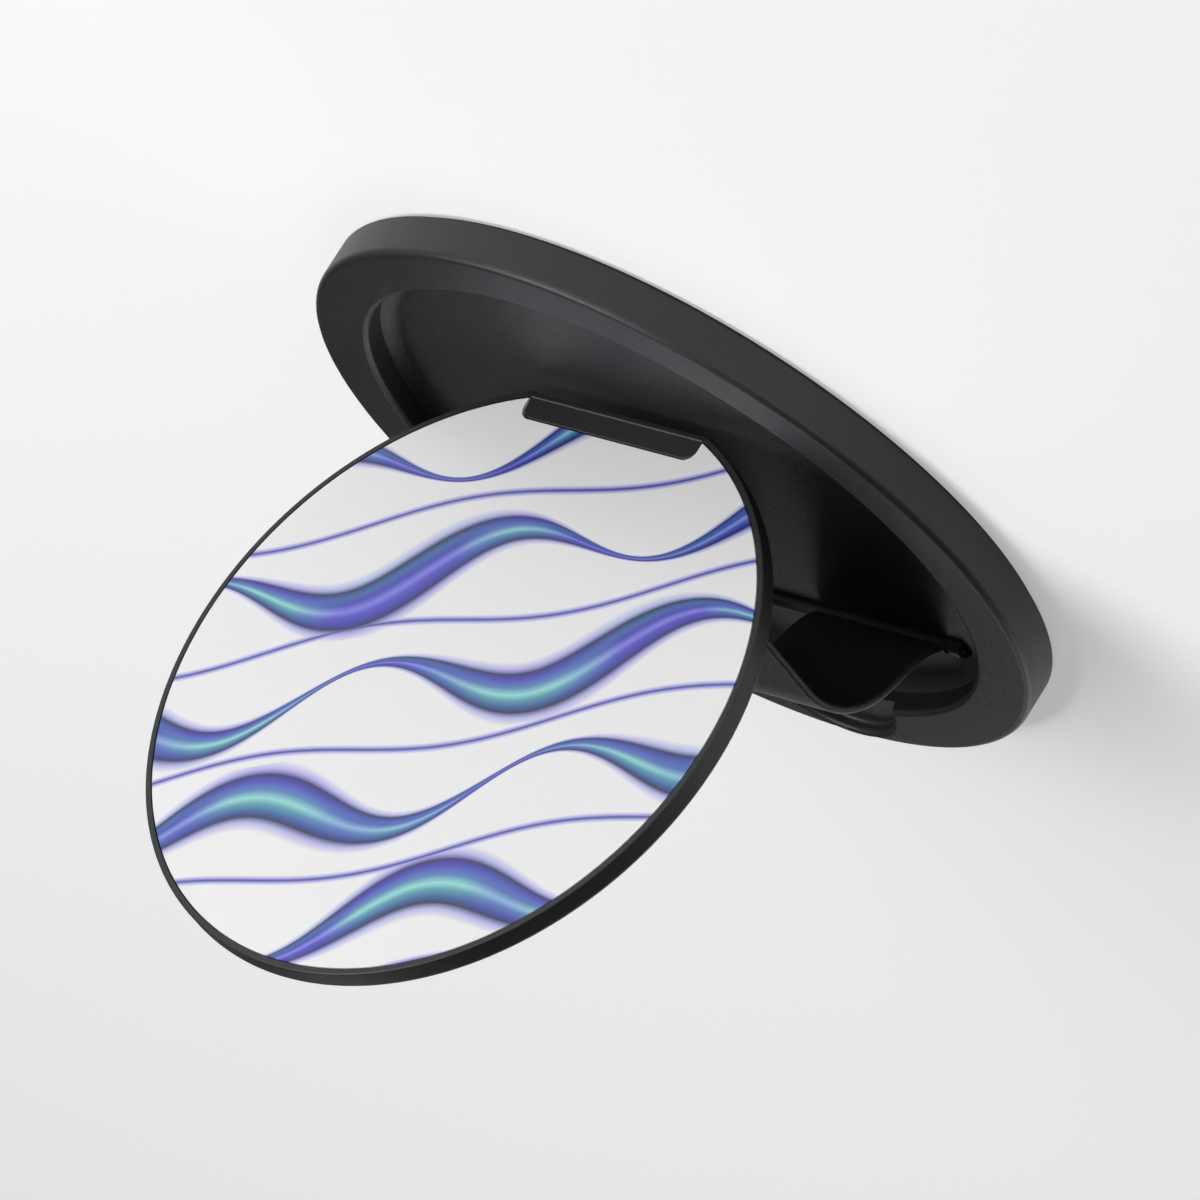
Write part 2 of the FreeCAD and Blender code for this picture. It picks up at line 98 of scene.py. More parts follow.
# Colour and gloss that wander between two values, over a fine grain in relief
def grainyFinish(name, look):
    material, tree, shader, place = newMaterial(name)
    if "stretch" in look:
        stretched = addNode(tree, "ShaderNodeMapping", {"Scale": look["stretch"]}, {"Vector": place})
        place = stretched.outputs["Vector"]
    cloud = addNode(tree, "ShaderNodeTexNoise", {"Scale": 1 / (look["cloudMm"] * mm), "Detail": 3.0},
                    {"Vector": place})
    tint = addNode(tree, "ShaderNodeValToRGB", {"stops": [(0.3, look["dark"]), (0.7, look["light"])]},
                   {"Fac": cloud.outputs["Fac"]})
    gloss = addNode(tree, "ShaderNodeMapRange", {"To Min": look["rough"][0], "To Max": look["rough"][1]},
                    {"Value": cloud.outputs["Fac"]})
    grain = addNode(tree, "ShaderNodeTexNoise", {"Scale": 1 / (look["grainMm"] * mm), "Detail": 2.0},
                    {"Vector": place})
    relief = addNode(tree, "ShaderNodeBump", {
        "Strength": look["bump"], "Distance": look["grainMm"] * mm * grainDepth,
    }, {"Height": grain.outputs["Fac"]})
    tree.links.new(tint.outputs["Color"], shader.inputs["Base Color"])
    tree.links.new(gloss.outputs["Result"], shader.inputs["Roughness"])
    tree.links.new(relief.outputs["Normal"], shader.inputs["Normal"])
    for socket, setting in look["shader"].items():
        shader.inputs[socket].default_value = setting
    return material


# ABS, moulded in a spark-eroded tool: deep black, an even satin with a fine grain,
# drawn coarse enough to show
satinAbs = grainyFinish("satinMouldedAbs", {
    "dark": "#1b1b1c", "light": "#202022", "cloudMm": 9, "rough": (0.42, 0.52), "grainMm": 0.24, "bump": 0.3,
    "shader": {"IOR": 1.53, "Specular IOR Level": 0.45},
})
# Thermoplastic polyurethane, calendered sheet: black, smooth and a little waxy, with a faint skin
strapTpu = grainyFinish("calenderedTpu", {
    "dark": "#29292b", "light": "#2f2f31", "cloudMm": 5, "rough": (0.4, 0.5), "grainMm": 0.3, "bump": 0.25,
    "shader": {"IOR": 1.5},
})
# Silicone rubber, pressed: soft dull black that takes no sharp highlight
padSilicone = grainyFinish("pressedSilicone", {
    "dark": "#1c1c1d", "light": "#232325", "cloudMm": 7, "rough": (0.62, 0.74), "grainMm": 0.3, "bump": 0.2,
    "shader": {"IOR": 1.41},
})
# Spring steel wire, ground: bright with faint lines along it
pinSteel = grainyFinish("groundSteelWire", {
    "dark": "#8b8c8e", "light": "#a9aaac", "cloudMm": 1.5, "rough": (0.24, 0.36), "grainMm": 0.1,
    "bump": 0.08, "stretch": (0.08, 1.0, 1.0), "shader": {"Metallic": 1.0},
})
# Neodymium iron boron with a nickel coat, barrel plated: warm silver, slightly cloudy
magnetNickel = grainyFinish("platedNickel", {
    "dark": "#b3aea4", "light": "#cbc6bb", "cloudMm": 3, "rough": (0.18, 0.3), "grainMm": 0.2, "bump": 0.06,
    "shader": {"Metallic": 1.0},
})
# Mild steel strip with zinc, stamped: cool grey and dull
shieldZinc = grainyFinish("stampedZincSteel", {
    "dark": "#8d9296", "light": "#a4a8ab", "cloudMm": 2, "rough": (0.34, 0.5), "grainMm": 0.25, "bump": 0.1,
    "shader": {"Metallic": 1.0},
})
# Polyester film, printed black: flat and matte
coverFilm = grainyFinish("matteFilm", {
    "dark": "#202021", "light": "#28282a", "cloudMm": 6, "rough": (0.55, 0.65), "grainMm": 0.2, "bump": 0.1,
    "shader": {"IOR": 1.57},
})
# Acetal, turned: smooth dark grey
washerAcetal = grainyFinish("turnedAcetal", {
    "dark": "#2a2a2b", "light": "#333335", "cloudMm": 1, "rough": (0.3, 0.4), "grainMm": 0.1, "bump": 0.05,
    "shader": {"IOR": 1.48},
})
# Acrylic foam tape, die cut: milky and dull
tapeFoam = grainyFinish("acrylicFoam", {
    "dark": "#c9c8c2", "light": "#d8d7d2", "cloudMm": 1.2, "rough": (0.7, 0.8), "grainMm": 0.15, "bump": 0.25,
    "shader": {"IOR": 1.48},
})
print("plain finishes ready")

paper = "#e5e5e5"            # ground of the print
facePrint = {
    "turnDeg": -24,          # rows of ribbons, turned on the disc
    "rowMm": 9.6,            # from one ribbon to the next
    "swingMm": 2.3,          # how far a ribbon swings from its row
    "waveMm": 25.0,          # length of one swing
    "rowShift": 2.15,        # each row starts its swing this much later, in radians
    "halfMm": 0.95,          # half width of a ribbon, on average
    "swellMm": 0.8,          # how much the half width swells and thins
    "swellLengthMm": 37.0,   # length of one swell
    "swellShift": 1.7,       # a row's swell is this many times as late as its swing
    "ribbonReach": 1.8,      # half the span of a ribbon's colours, in half widths
    "hairMm": 0.16,          # half width of the fine line between two ribbons
    "hairSwing": 0.09,       # how far it swings, as a share of a row
    "hairWaves": 0.8,        # its waves to one of a ribbon
    "hairShift": 1.3,        # each one starts this much later, in radians
    "hairReach": 2.5,        # half the span of its colours, in half widths
    "driftPerMm": 0.09,      # how fast ribbons drift from teal to violet
    "driftSpan": (0.4, 0.6),
    "ripplePerMm": 0.5,      # faint waviness of the plate
    "rippleMm": 0.05,
    "rippleBump": 0.05,
    "rough": (0.28, 0.36),
    "shader": {"IOR": 1.58, "Coat Weight": 0.25, "Coat Roughness": 0.12},
    # across a ribbon, from its lower to its upper side
    "teal": [(0.04, paper), (0.15, "#aaa6de"), (0.22, "#1c2262"), (0.31, "#4540b2"), (0.42, "#4f7fb0"),
             (0.52, "#8fd0c9"), (0.60, "#4c93a4"), (0.70, "#2a4f8e"), (0.77, "#12244a"), (0.85, "#b2b2de"),
             (0.96, paper)],
    "violet": [(0.04, paper), (0.15, "#b0b6e0"), (0.22, "#14264f"), (0.31, "#35609c"), (0.42, "#3a3cab"),
               (0.52, "#7d7ad6"), (0.60, "#4b47ba"), (0.70, "#3535a0"), (0.77, "#1a1f5c"), (0.85, "#a9a6dc"),
               (0.96, paper)],
    "hair": [(0.0, paper), (0.3, "#9f9cda"), (0.5, "#2a2f86"), (0.7, "#9f9cda"), (1.0, paper)],
}


# Polycarbonate plate, printed from behind: off-white ground with soft-shaded blue ribbons
# under a clear gloss
def printedPlate(look, centre):
    material, tree, shader, place = newMaterial("printedPolycarbonate")
    centred = addNode(tree, "ShaderNodeMapping", {"Location": -centre}, {"Vector": place})
    turned = addNode(tree, "ShaderNodeMapping", {
        "Rotation": (0.0, math.radians(look["turnDeg"]), 0.0), "Scale": (1 / mm, 1 / mm, 1 / mm),
    }, {"Vector": centred.outputs["Vector"]}).outputs["Vector"]
    sides = addNode(tree, "ShaderNodeSeparateXYZ", links={"Vector": turned})
    values = {"along": sides.outputs["X"], "across": sides.outputs["Z"]}
    waveTurn = 2 * math.pi / look["waveMm"]
    # each line gives a value its name, the sum that makes it and what goes in
    for name, operation, *parts in (
        ("rows", "DIVIDE", "across", look["rowMm"]),
        ("row", "ROUND", "rows"),
        ("late", "MULTIPLY", "row", look["rowShift"]),
        ("turn", "MULTIPLY_ADD", "along", waveTurn, "late"),
        ("swing", "SINE", "turn"),
        ("middle", "MULTIPLY", "row", look["rowMm"]),
        ("path", "MULTIPLY_ADD", "swing", look["swingMm"], "middle"),
        ("offset", "SUBTRACT", "across", "path"),
        ("lean", "COSINE", "turn"),
        ("slope", "MULTIPLY", "lean", look["swingMm"] * waveTurn),
        ("slopeSquare", "MULTIPLY_ADD", "slope", "slope", 1.0),
        ("stretch", "SQRT", "slopeSquare"),
        ("reach", "DIVIDE", "offset", "stretch"),
        ("lateSwell", "MULTIPLY", "late", look["swellShift"]),
        ("swellTurn", "MULTIPLY_ADD", "along", 2 * math.pi / look["swellLengthMm"], "lateSwell"),
        ("swell", "SINE", "swellTurn"),
        ("half", "MULTIPLY_ADD", "swell", look["swellMm"], look["halfMm"]),
        ("section", "DIVIDE", "reach", "half"),
        ("hairRows", "ADD", "rows", 0.5),
        ("hairRow", "ROUND", "hairRows"),
        ("hairLate", "MULTIPLY", "hairRow", look["hairShift"]),
        ("hairTurn", "MULTIPLY_ADD", "along", look["hairWaves"] * waveTurn, "hairLate"),
        ("hairSwing", "SINE", "hairTurn"),
        ("hairFrom", "SUBTRACT", "hairRows", "hairRow"),
        ("hairOffset", "MULTIPLY_ADD", "hairSwing", -look["hairSwing"], "hairFrom"),
        ("hairSection", "MULTIPLY", "hairOffset", look["rowMm"] / look["hairMm"]),
    ):
        fixed = {index: part for index, part in enumerate(parts) if not isinstance(part, str)}
        linked = {index: values[part] for index, part in enumerate(parts) if isinstance(part, str)}
        value = addNode(tree, "ShaderNodeMath", {"operation": operation, **fixed}, linked)
        values[name] = value.outputs["Value"]
    strip = addNode(tree, "ShaderNodeMapRange", {
        "From Min": -look["ribbonReach"], "From Max": look["ribbonReach"],
    }, {"Value": values["section"]})
    teal = addNode(tree, "ShaderNodeValToRGB", {"stops": look["teal"]}, {"Fac": strip.outputs["Result"]})
    violet = addNode(tree, "ShaderNodeValToRGB", {"stops": look["violet"]}, {"Fac": strip.outputs["Result"]})
    drift = addNode(tree, "ShaderNodeTexNoise", {"Scale": look["driftPerMm"], "Detail": 0.0},
                    {"Vector": turned})
    share = addNode(tree, "ShaderNodeMapRange", {
        "From Min": look["driftSpan"][0], "From Max": look["driftSpan"][1],
    }, {"Value": drift.outputs["Fac"]})
    ribbon = addNode(tree, "ShaderNodeMix", {"data_type": "RGBA"}, {
        0: share.outputs["Result"], 6: teal.outputs["Color"], 7: violet.outputs["Color"],
    })
    hairStrip = addNode(tree, "ShaderNodeMapRange", {
        "From Min": -look["hairReach"], "From Max": look["hairReach"],
    }, {"Value": values["hairSection"]})
    hair = addNode(tree, "ShaderNodeValToRGB", {"stops": look["hair"]}, {"Fac": hairStrip.outputs["Result"]})
    ink = addNode(tree, "ShaderNodeMix", {"data_type": "RGBA", "blend_type": "DARKEN", 0: 1.0}, {
        6: ribbon.outputs[2], 7: hair.outputs["Color"],
    })
    tree.links.new(ink.outputs[2], shader.inputs["Base Color"])
    ripple = addNode(tree, "ShaderNodeTexNoise", {"Scale": look["ripplePerMm"], "Detail": 1.0},
                     {"Vector": turned})
    relief = addNode(tree, "ShaderNodeBump", {
        "Strength": look["rippleBump"], "Distance": look["rippleMm"] * mm,
    }, {"Height": ripple.outputs["Fac"]})
    tree.links.new(relief.outputs["Normal"], shader.inputs["Normal"])
    gloss = addNode(tree, "ShaderNodeMapRange", {"To Min": look["rough"][0], "To Max": look["rough"][1]},
                    {"Value": ripple.outputs["Fac"]})
    tree.links.new(gloss.outputs["Result"], shader.inputs["Roughness"])
    for socket, setting in look["shader"].items():
        shader.inputs[socket].default_value = setting
    return material


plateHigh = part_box("face_plate")[1]
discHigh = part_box("disc_tray")[1]
discCentre = Vector((0.0, plateHigh.y, discHigh.z - discHigh.x))
printedFace = printedPlate(facePrint, discCentre)
print("printed face ready")


# Modelling helpers: what is worked on is the active object, and nothing else stays selected
def clearSelection():
    if bpy.context.object and bpy.context.object.mode == "EDIT":
        bpy.ops.object.mode_set(mode="OBJECT")
    bpy.ops.object.select_all(action="DESELECT")


def editMode(piece, selectMode="FACE"):
    clearSelection()
    piece.select_set(True)
    bpy.context.view_layer.objects.active = piece
    bpy.ops.object.mode_set(mode="EDIT")
    bpy.ops.mesh.select_mode(type=selectMode)
    bpy.ops.mesh.select_all(action="DESELECT")


def pickFaces(piece, test):
    editMode(piece, "FACE")
    mesh = bmesh.from_edit_mesh(piece.data)
    for face in mesh.faces:
        face.select_set(test(face.calc_center_median(), face.normal))
    bmesh.update_edit_mesh(piece.data)


def pickEdges(piece, test):
    editMode(piece, "EDGE")
    mesh = bmesh.from_edit_mesh(piece.data)
    for edge in mesh.edges:
        edge.select_set(all(test(vert.co) for vert in edge.verts))
    bmesh.update_edit_mesh(piece.data)


def roundPicked(radius, steps):
    bpy.ops.mesh.bevel(offset=radius, segments=steps, profile=0.5, affect="EDGES", clamp_overlap=False)
    bpy.ops.object.mode_set(mode="OBJECT")


def applyModifier(piece, kind, **settings):
    clearSelection()
    bpy.context.view_layer.objects.active = piece
    modifier = piece.modifiers.new(kind.lower(), kind)
    for name, setting in settings.items():
        setattr(modifier, name, setting)
    bpy.ops.object.modifier_apply(modifier=modifier.name)


def combine(piece, tool, operation):
    applyModifier(piece, "BOOLEAN", object=tool, operation=operation, solver="EXACT")
    bpy.data.objects.remove(tool)


def applyPlace(piece):
    clearSelection()
    piece.select_set(True)
    bpy.context.view_layer.objects.active = piece
    bpy.ops.object.transform_apply(location=True, rotation=True, scale=True)


def roundDisc(name, radius, low, high, steps):
    clearSelection()
    bpy.ops.mesh.primitive_circle_add(vertices=steps, radius=radius, fill_type="NGON",
                                      location=(0.0, 0.0, low))
    piece = bpy.context.object
    piece.name = name
    applyPlace(piece)
    editMode(piece)
    bpy.ops.mesh.select_all(action="SELECT")
    bpy.ops.mesh.extrude_region_move(TRANSFORM_OT_translate={"value": (0.0, 0.0, high - low)})
    bpy.ops.mesh.select_all(action="SELECT")
    bpy.ops.mesh.normals_make_consistent(inside=False)
    bpy.ops.object.mode_set(mode="OBJECT")
    return piece


def block(name, low, high):
    clearSelection()
    middle = [(a + b) / 2 for a, b in zip(low, high)]
    bpy.ops.mesh.primitive_cube_add(size=1.0, location=middle)
    piece = bpy.context.object
    piece.name = name
    piece.scale = [b - a for a, b in zip(low, high)]
    applyPlace(piece)
    return piece


def rod(name, radius, ends, place, steps):
    clearSelection()
    middle = ((ends[0] + ends[1]) / 2, *place)
    bpy.ops.mesh.primitive_cylinder_add(vertices=steps, radius=radius, depth=ends[1] - ends[0],
                                        location=middle, rotation=(0.0, math.pi / 2, 0.0))
    piece = bpy.context.object
    piece.name = name
    applyPlace(piece)
    return piece


def near(first, second, slack=pickSlack):
    return abs(first - second) < slack


def finishPiece(piece, material, body, nodes, smoothDeg=35):
    editMode(piece)
    bpy.ops.mesh.select_all(action="SELECT")
    bpy.ops.mesh.remove_doubles(threshold=mergeSlack)
    bpy.ops.mesh.dissolve_degenerate(threshold=mergeSlack)
    bpy.ops.object.mode_set(mode="OBJECT")
    piece.data.materials.clear()
    piece.data.materials.append(material)
    bpy.ops.object.shade_smooth_by_angle(angle=math.radians(smoothDeg))
    # flats stay flat beside their rounds
    applyModifier(piece, "WEIGHTED_NORMAL", mode="FACE_AREA", weight=50, keep_sharp=True)
    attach(piece, body)
    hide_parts(*nodes)
    print("made", piece.name, len(piece.data.polygons), "faces")


hingeLug = {
    "inside": 14.8 * mm,         # from the middle of the strap to either side of the lug
    "outside": 16.45 * mm,
    "half": 0.7 * mm,            # half its width
    "round": 0.6 * mm,           # from the pin to its top
    "edge": 0.95,                # share of that which its round edges take
    "steps": 6,
}


# A lug is a short upright block with a round top, which a hinge pin goes through
def addLugs(piece, lug, axisY, axisZ, foot):
    way = 1 if foot < axisZ else -1
    top = axisZ + way * lug["round"]
    for side in (-1, 1):
        spans = sorted((side * lug["inside"], side * lug["outside"]))
        low = (spans[0], axisY - lug["half"], min(foot, top))
        high = (spans[1], axisY + lug["half"], max(foot, top))
        stem = block("lug", low, high)
        pickEdges(stem, lambda co: near(co.z, top) and near(abs(co.y - axisY), lug["half"]))
        roundPicked(lug["round"] * lug["edge"], lug["steps"])
        combine(piece, stem, "UNION")


baseLow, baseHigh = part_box("base_housing")
pinLow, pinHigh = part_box("root_pin")
rootY = (pinLow.y + pinHigh.y) / 2
rootZ = (pinLow.z + pinHigh.z) / 2
# here and below, a round is its radius and its steps
baseRim = {
    "steps": 288,
    "inside": 0.01 * mm,         # kept inside the frame's box
    "recess": 24.1 * mm,         # radius of the recess
    "floor": 0.9 * mm,           # height of its floor
    "foot": (1.2 * mm, 0.8 * mm),        # run and rise of the soft slope round the floor
    "outerRound": (0.5 * mm, 5),
    "edgeRound": (0.4 * mm, 3),
    # finger scoop: inset is how far its middle lies inside the recess's edge
    "scoop": {
        "radius": 6.2 * mm, "steps": 96, "inset": 2.5 * mm, "depth": 0.95 * mm, "round": (0.35 * mm, 4),
    },
    "slotHalf": (14.8 * mm, 0.8 * mm),   # opening in the floor for the strap's rolled end
}


def makeBaseShell(look):
    top = baseHigh.z
    radius = baseHigh.x - look["inside"]
    shell = roundDisc("baseShell", radius, baseLow.z, top, look["steps"])
    pickFaces(shell, lambda co, normal: normal.z > 0.9)
    bpy.ops.mesh.inset(thickness=radius - look["recess"], depth=0.0, use_even_offset=True)
    footRun, footRise = look["foot"]
    wallDown = look["floor"] + footRise - top
    bpy.ops.mesh.extrude_region_move(TRANSFORM_OT_translate={"value": (0.0, 0.0, wallDown)})
    bpy.ops.mesh.inset(thickness=footRun, depth=-footRise, use_even_offset=True)
    bpy.ops.object.mode_set(mode="OBJECT")
    scoop = look["scoop"]
    scoopY = scoop["inset"] - look["recess"]
    scoopFloor = top - scoop["depth"]
    thumb = roundDisc("thumbCutter", scoop["radius"], scoopFloor, top + scoop["depth"], scoop["steps"])
    pickEdges(thumb, lambda co: near(co.z, scoopFloor))
    roundPicked(*scoop["round"])
    thumb.location.y = scoopY
    applyPlace(thumb)
    combine(shell, thumb, "DIFFERENCE")
    slotX, slotY = look["slotHalf"]
    slot = block("slotCutter", (-slotX, rootY - slotY, baseLow.z - mm),
                 (slotX, rootY + slotY, look["floor"] + mm))
    combine(shell, slot, "DIFFERENCE")

    def onRecess(co):
        return near(math.hypot(co.x, co.y), look["recess"], ringSlack)

    def onScoop(co):
        return near(math.hypot(co.x, co.y - scoopY), scoop["radius"], ringSlack)

    pickEdges(shell, lambda co: near(co.z, top) and (onRecess(co) or onScoop(co)))
    roundPicked(*look["edgeRound"])
    pickEdges(shell, lambda co: near(co.z, top) and near(math.hypot(co.x, co.y), radius, ringSlack))
    roundPicked(*look["outerRound"])
    addLugs(shell, hingeLug, rootY, rootZ, baseLow.z)
    finishPiece(shell, satinAbs, "base", ["base_housing"])


makeBaseShell(baseRim)

padLow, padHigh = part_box("contact_pad")
contactPad = {"steps": 288, "edge": (0.15 * mm, 3)}


def makeContactPad(look):
    pad = roundDisc("contactPad", padHigh.x, padLow.z, padHigh.z, look["steps"])
    pickEdges(pad, lambda co: near(co.z, padLow.z))
    roundPicked(*look["edge"])
    finishPiece(pad, padSilicone, "base", ["contact_pad"])


makeContactPad(contactPad)

headLow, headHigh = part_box("head_pin")
headY = (headLow.y + headHigh.y) / 2
headZ = (headLow.z + headHigh.z) / 2
strapLeaf = {
    "half": 14.5 * mm,           # half the width of the strap
    "thick": 0.6 * mm,
    "slotHalf": 2.7 * mm,
    "slotReach": 4.0 * mm,       # past the bend, to the middle of the slot's round end
    "slotSteps": 64,
    "bend": 7.0 * mm,            # radius of the bend, at the middle of the strap
    "openDeg": 65.0,
    "bendSteps": 40,
    "sway": 0.5 * mm,            # how far the legs sway inwards near their foot
    "swayScale": 6.75,           # brings the peak of the sway's curve to 1
    "legSteps": 14,
    "weld": 0.001 * mm,
    "axisDrop": 0.275 * mm,      # pins to the middle of the strap
    "barrel": (0.6 * mm, 40),
    "edge": (0.22 * mm, 3),
    "edgeDeg": 50,               # edges sharper than this are rounded
}


def makeStrap(look):
    openTurn = math.radians(look["openDeg"])
    legWay = Vector((0.0, math.cos(openTurn), math.sin(openTurn)))
    legFace = Vector((0.0, -math.sin(openTurn), math.cos(openTurn)))
    level = headZ - look["axisDrop"]
    legFoot = Vector((0.0, rootY, rootZ)) + legFace * look["axisDrop"]
    # the bend touches the level leaf and the sloping leg
    drop = look["bend"] * (1 - math.cos(openTurn))
    legRun = (level - drop - legFoot.z) / legWay.z
    bendFoot = legFoot + legWay * legRun
    bendHead = Vector((0.0, bendFoot.y + look["bend"] * math.sin(openTurn), level))
    centre = bendHead - Vector((0.0, 0.0, look["bend"]))
    clearSelection()
    bpy.ops.mesh.primitive_plane_add(size=1.0, location=(0.0, (bendHead.y + headY) / 2, level))
    strap = bpy.context.object
    strap.name = "strap"
    strap.scale = (2 * look["half"], headY - bendHead.y, 1.0)
    applyPlace(strap)
    pickEdges(strap, lambda co: near(co.y, bendHead.y))
    bpy.ops.mesh.spin(steps=look["bendSteps"], angle=openTurn, center=centre, axis=(-1.0, 0.0, 0.0))
    bpy.ops.object.mode_set(mode="OBJECT")
    pickEdges(strap, lambda co: near(co.y, bendFoot.y) and near(co.z, bendFoot.z))
    lastPoint = bendFoot
    for step in range(look["legSteps"]):
        height = 1 - (step + 1) / look["legSteps"]      # share of the leg, from its foot
        sway = look["sway"] * look["swayScale"] * height * (1 - height) ** 2    # most at a third of it
        point = legFoot + legWay * legRun * height - legFace * sway
        bpy.ops.mesh.extrude_region_move(TRANSFORM_OT_translate={"value": point - lastPoint})
        lastPoint = point
    bpy.ops.mesh.select_all(action="SELECT")
    bpy.ops.mesh.remove_doubles(threshold=look["weld"])
    bpy.ops.mesh.normals_make_consistent(inside=False)
    bpy.ops.object.mode_set(mode="OBJECT")
    applyModifier(strap, "SOLIDIFY", thickness=look["thick"], offset=0.0, use_even_offset=True)
    slotEnd = bendHead.y + look["slotReach"]
    slot = block("slotCutter", (-look["slotHalf"], 2 * rootY, -mm), (look["slotHalf"], slotEnd, level + mm))
    combine(strap, slot, "DIFFERENCE")
    slotRound = roundDisc("slotCutter", look["slotHalf"], level - mm, level + mm, look["slotSteps"])
    slotRound.location.y = slotEnd
    applyPlace(slotRound)
    combine(strap, slotRound, "DIFFERENCE")
    edge, edgeSteps = look["edge"]
    applyModifier(strap, "BEVEL", width=edge, segments=edgeSteps, limit_method="ANGLE",
                  angle_limit=math.radians(look["edgeDeg"]), use_clamp_overlap=False)
    barrel, barrelSteps = look["barrel"]
    for axis in ((rootY, rootZ), (headY, headZ)):
        rolledEnd = rod("rolledEnd", barrel, (-look["half"], look["half"]), axis, barrelSteps)
        combine(strap, rolledEnd, "UNION")
    # the strap is cut at both ends of its bend and in the middle of it
    bendMiddle = centre + Vector((0.0, -math.sin(openTurn / 2), math.cos(openTurn / 2))) * look["bend"]
    middleWay = Vector((0.0, math.cos(openTurn / 2), math.sin(openTurn / 2)))
    cuts = [(bendFoot, legWay), (bendMiddle, middleWay), (bendHead, Vector((0.0, 1.0, 0.0)))]
    parts = {}
    for index, name in enumerate(("strapLegs", "strapBendLow", "strapBendHigh", "strapLeaf")):
        part = strap.copy()
        part.data = strap.data.copy()
        part.name = name
        bpy.context.scene.collection.objects.link(part)
        for place, cut in enumerate(cuts):
            if place not in (index - 1, index):
                continue
            editMode(part)
            bpy.ops.mesh.select_all(action="SELECT")
            bpy.ops.mesh.bisect(plane_co=cut[0], plane_no=cut[1], use_fill=True, threshold=cutSlack,
                                clear_inner=place == index - 1, clear_outer=place == index)
            bpy.ops.object.mode_set(mode="OBJECT")
        parts[name] = part
    bpy.data.objects.remove(strap)
    finishPiece(parts["strapLegs"], strapTpu, "strap_lower", ["strap_lower_panel"])
    finishPiece(parts["strapBendLow"], strapTpu, "strap_lower", ["strap_knee"])
    finishPiece(parts["strapBendHigh"], strapTpu, "strap_upper", ["strap_knee"])
    finishPiece(parts["strapLeaf"], strapTpu, "strap_upper", ["strap_upper_panel"])
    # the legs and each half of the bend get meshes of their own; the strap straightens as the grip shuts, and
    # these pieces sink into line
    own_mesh(parts["strapLegs"])
    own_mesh(parts["strapBendLow"])
    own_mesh(parts["strapBendHigh"])


makeStrap(strapLeaf)

discForm = {
    "steps": 256,
    "thick": 1.75 * mm,
    "lip": 0.45 * mm,            # black lip round the printed plate
    "seat": 0.55 * mm,           # plate and its adhesive
    "plateThick": 0.45 * mm,
    "plateGap": 0.08 * mm,
    "chordHalf": 8.5 * mm,       # half the length of the straight cut
    "ledge": 1.95 * mm,          # black ledge beside it
    "ledgeDrop": 0.08 * mm,
    "ridge": 0.36 * mm,          # low ridge between the ledge and the straight cut, with its slope
    "ledgeRound": (0.9 * mm, 8),         # corners of the ledge, seen on the face
    "ledgeEdge": (0.16 * mm, 3),
    "ridgeEdge": (0.03 * mm, 2),
    "straightBevel": 0.6 * mm,   # along the back of the straight cut
    "ledgeBevel": 0.06 * mm,     # along its face
    "bar": 2.0 * mm,             # half the bar that cuts both bevels
    "backRound": (0.45 * mm, 5),
    "lipRound": (0.13 * mm, 3),
    "plateRound": (0.07 * mm, 2),
    "groove": (14.8 * mm, 0.8 * mm, 0.65 * mm),     # for the strap's rolled end: half sizes and depth
}


# The plate's outline is a circle with a round-cornered notch, flat on its back with its notch to +Y
def notchedDisc(name, look, radius, notchHalf, notchInside, low, high):
    piece = roundDisc(name, radius, low, high, look["steps"])
    notch = block("notchCutter", (-notchHalf, notchInside, low - mm), (notchHalf, 2 * radius, high + mm))
    pickEdges(notch, lambda co: near(co.y, notchInside) and near(abs(co.x), notchHalf))
    mesh = bmesh.from_edit_mesh(notch.data)
    for edge in mesh.edges:
        if near(edge.verts[0].co.z, edge.verts[1].co.z):
            edge.select_set(False)
    bmesh.update_edit_mesh(notch.data)
    roundPicked(*look["ledgeRound"])
    combine(piece, notch, "DIFFERENCE")
    return piece


# The disc is modelled lying flat, face up, and then stood on its edge in its place
def standUp(piece):
    piece.rotation_euler = (-math.pi / 2, 0.0, 0.0)
    piece.location = (0.0, discCentre.y - discForm["thick"], discCentre.z)
    applyPlace(piece)


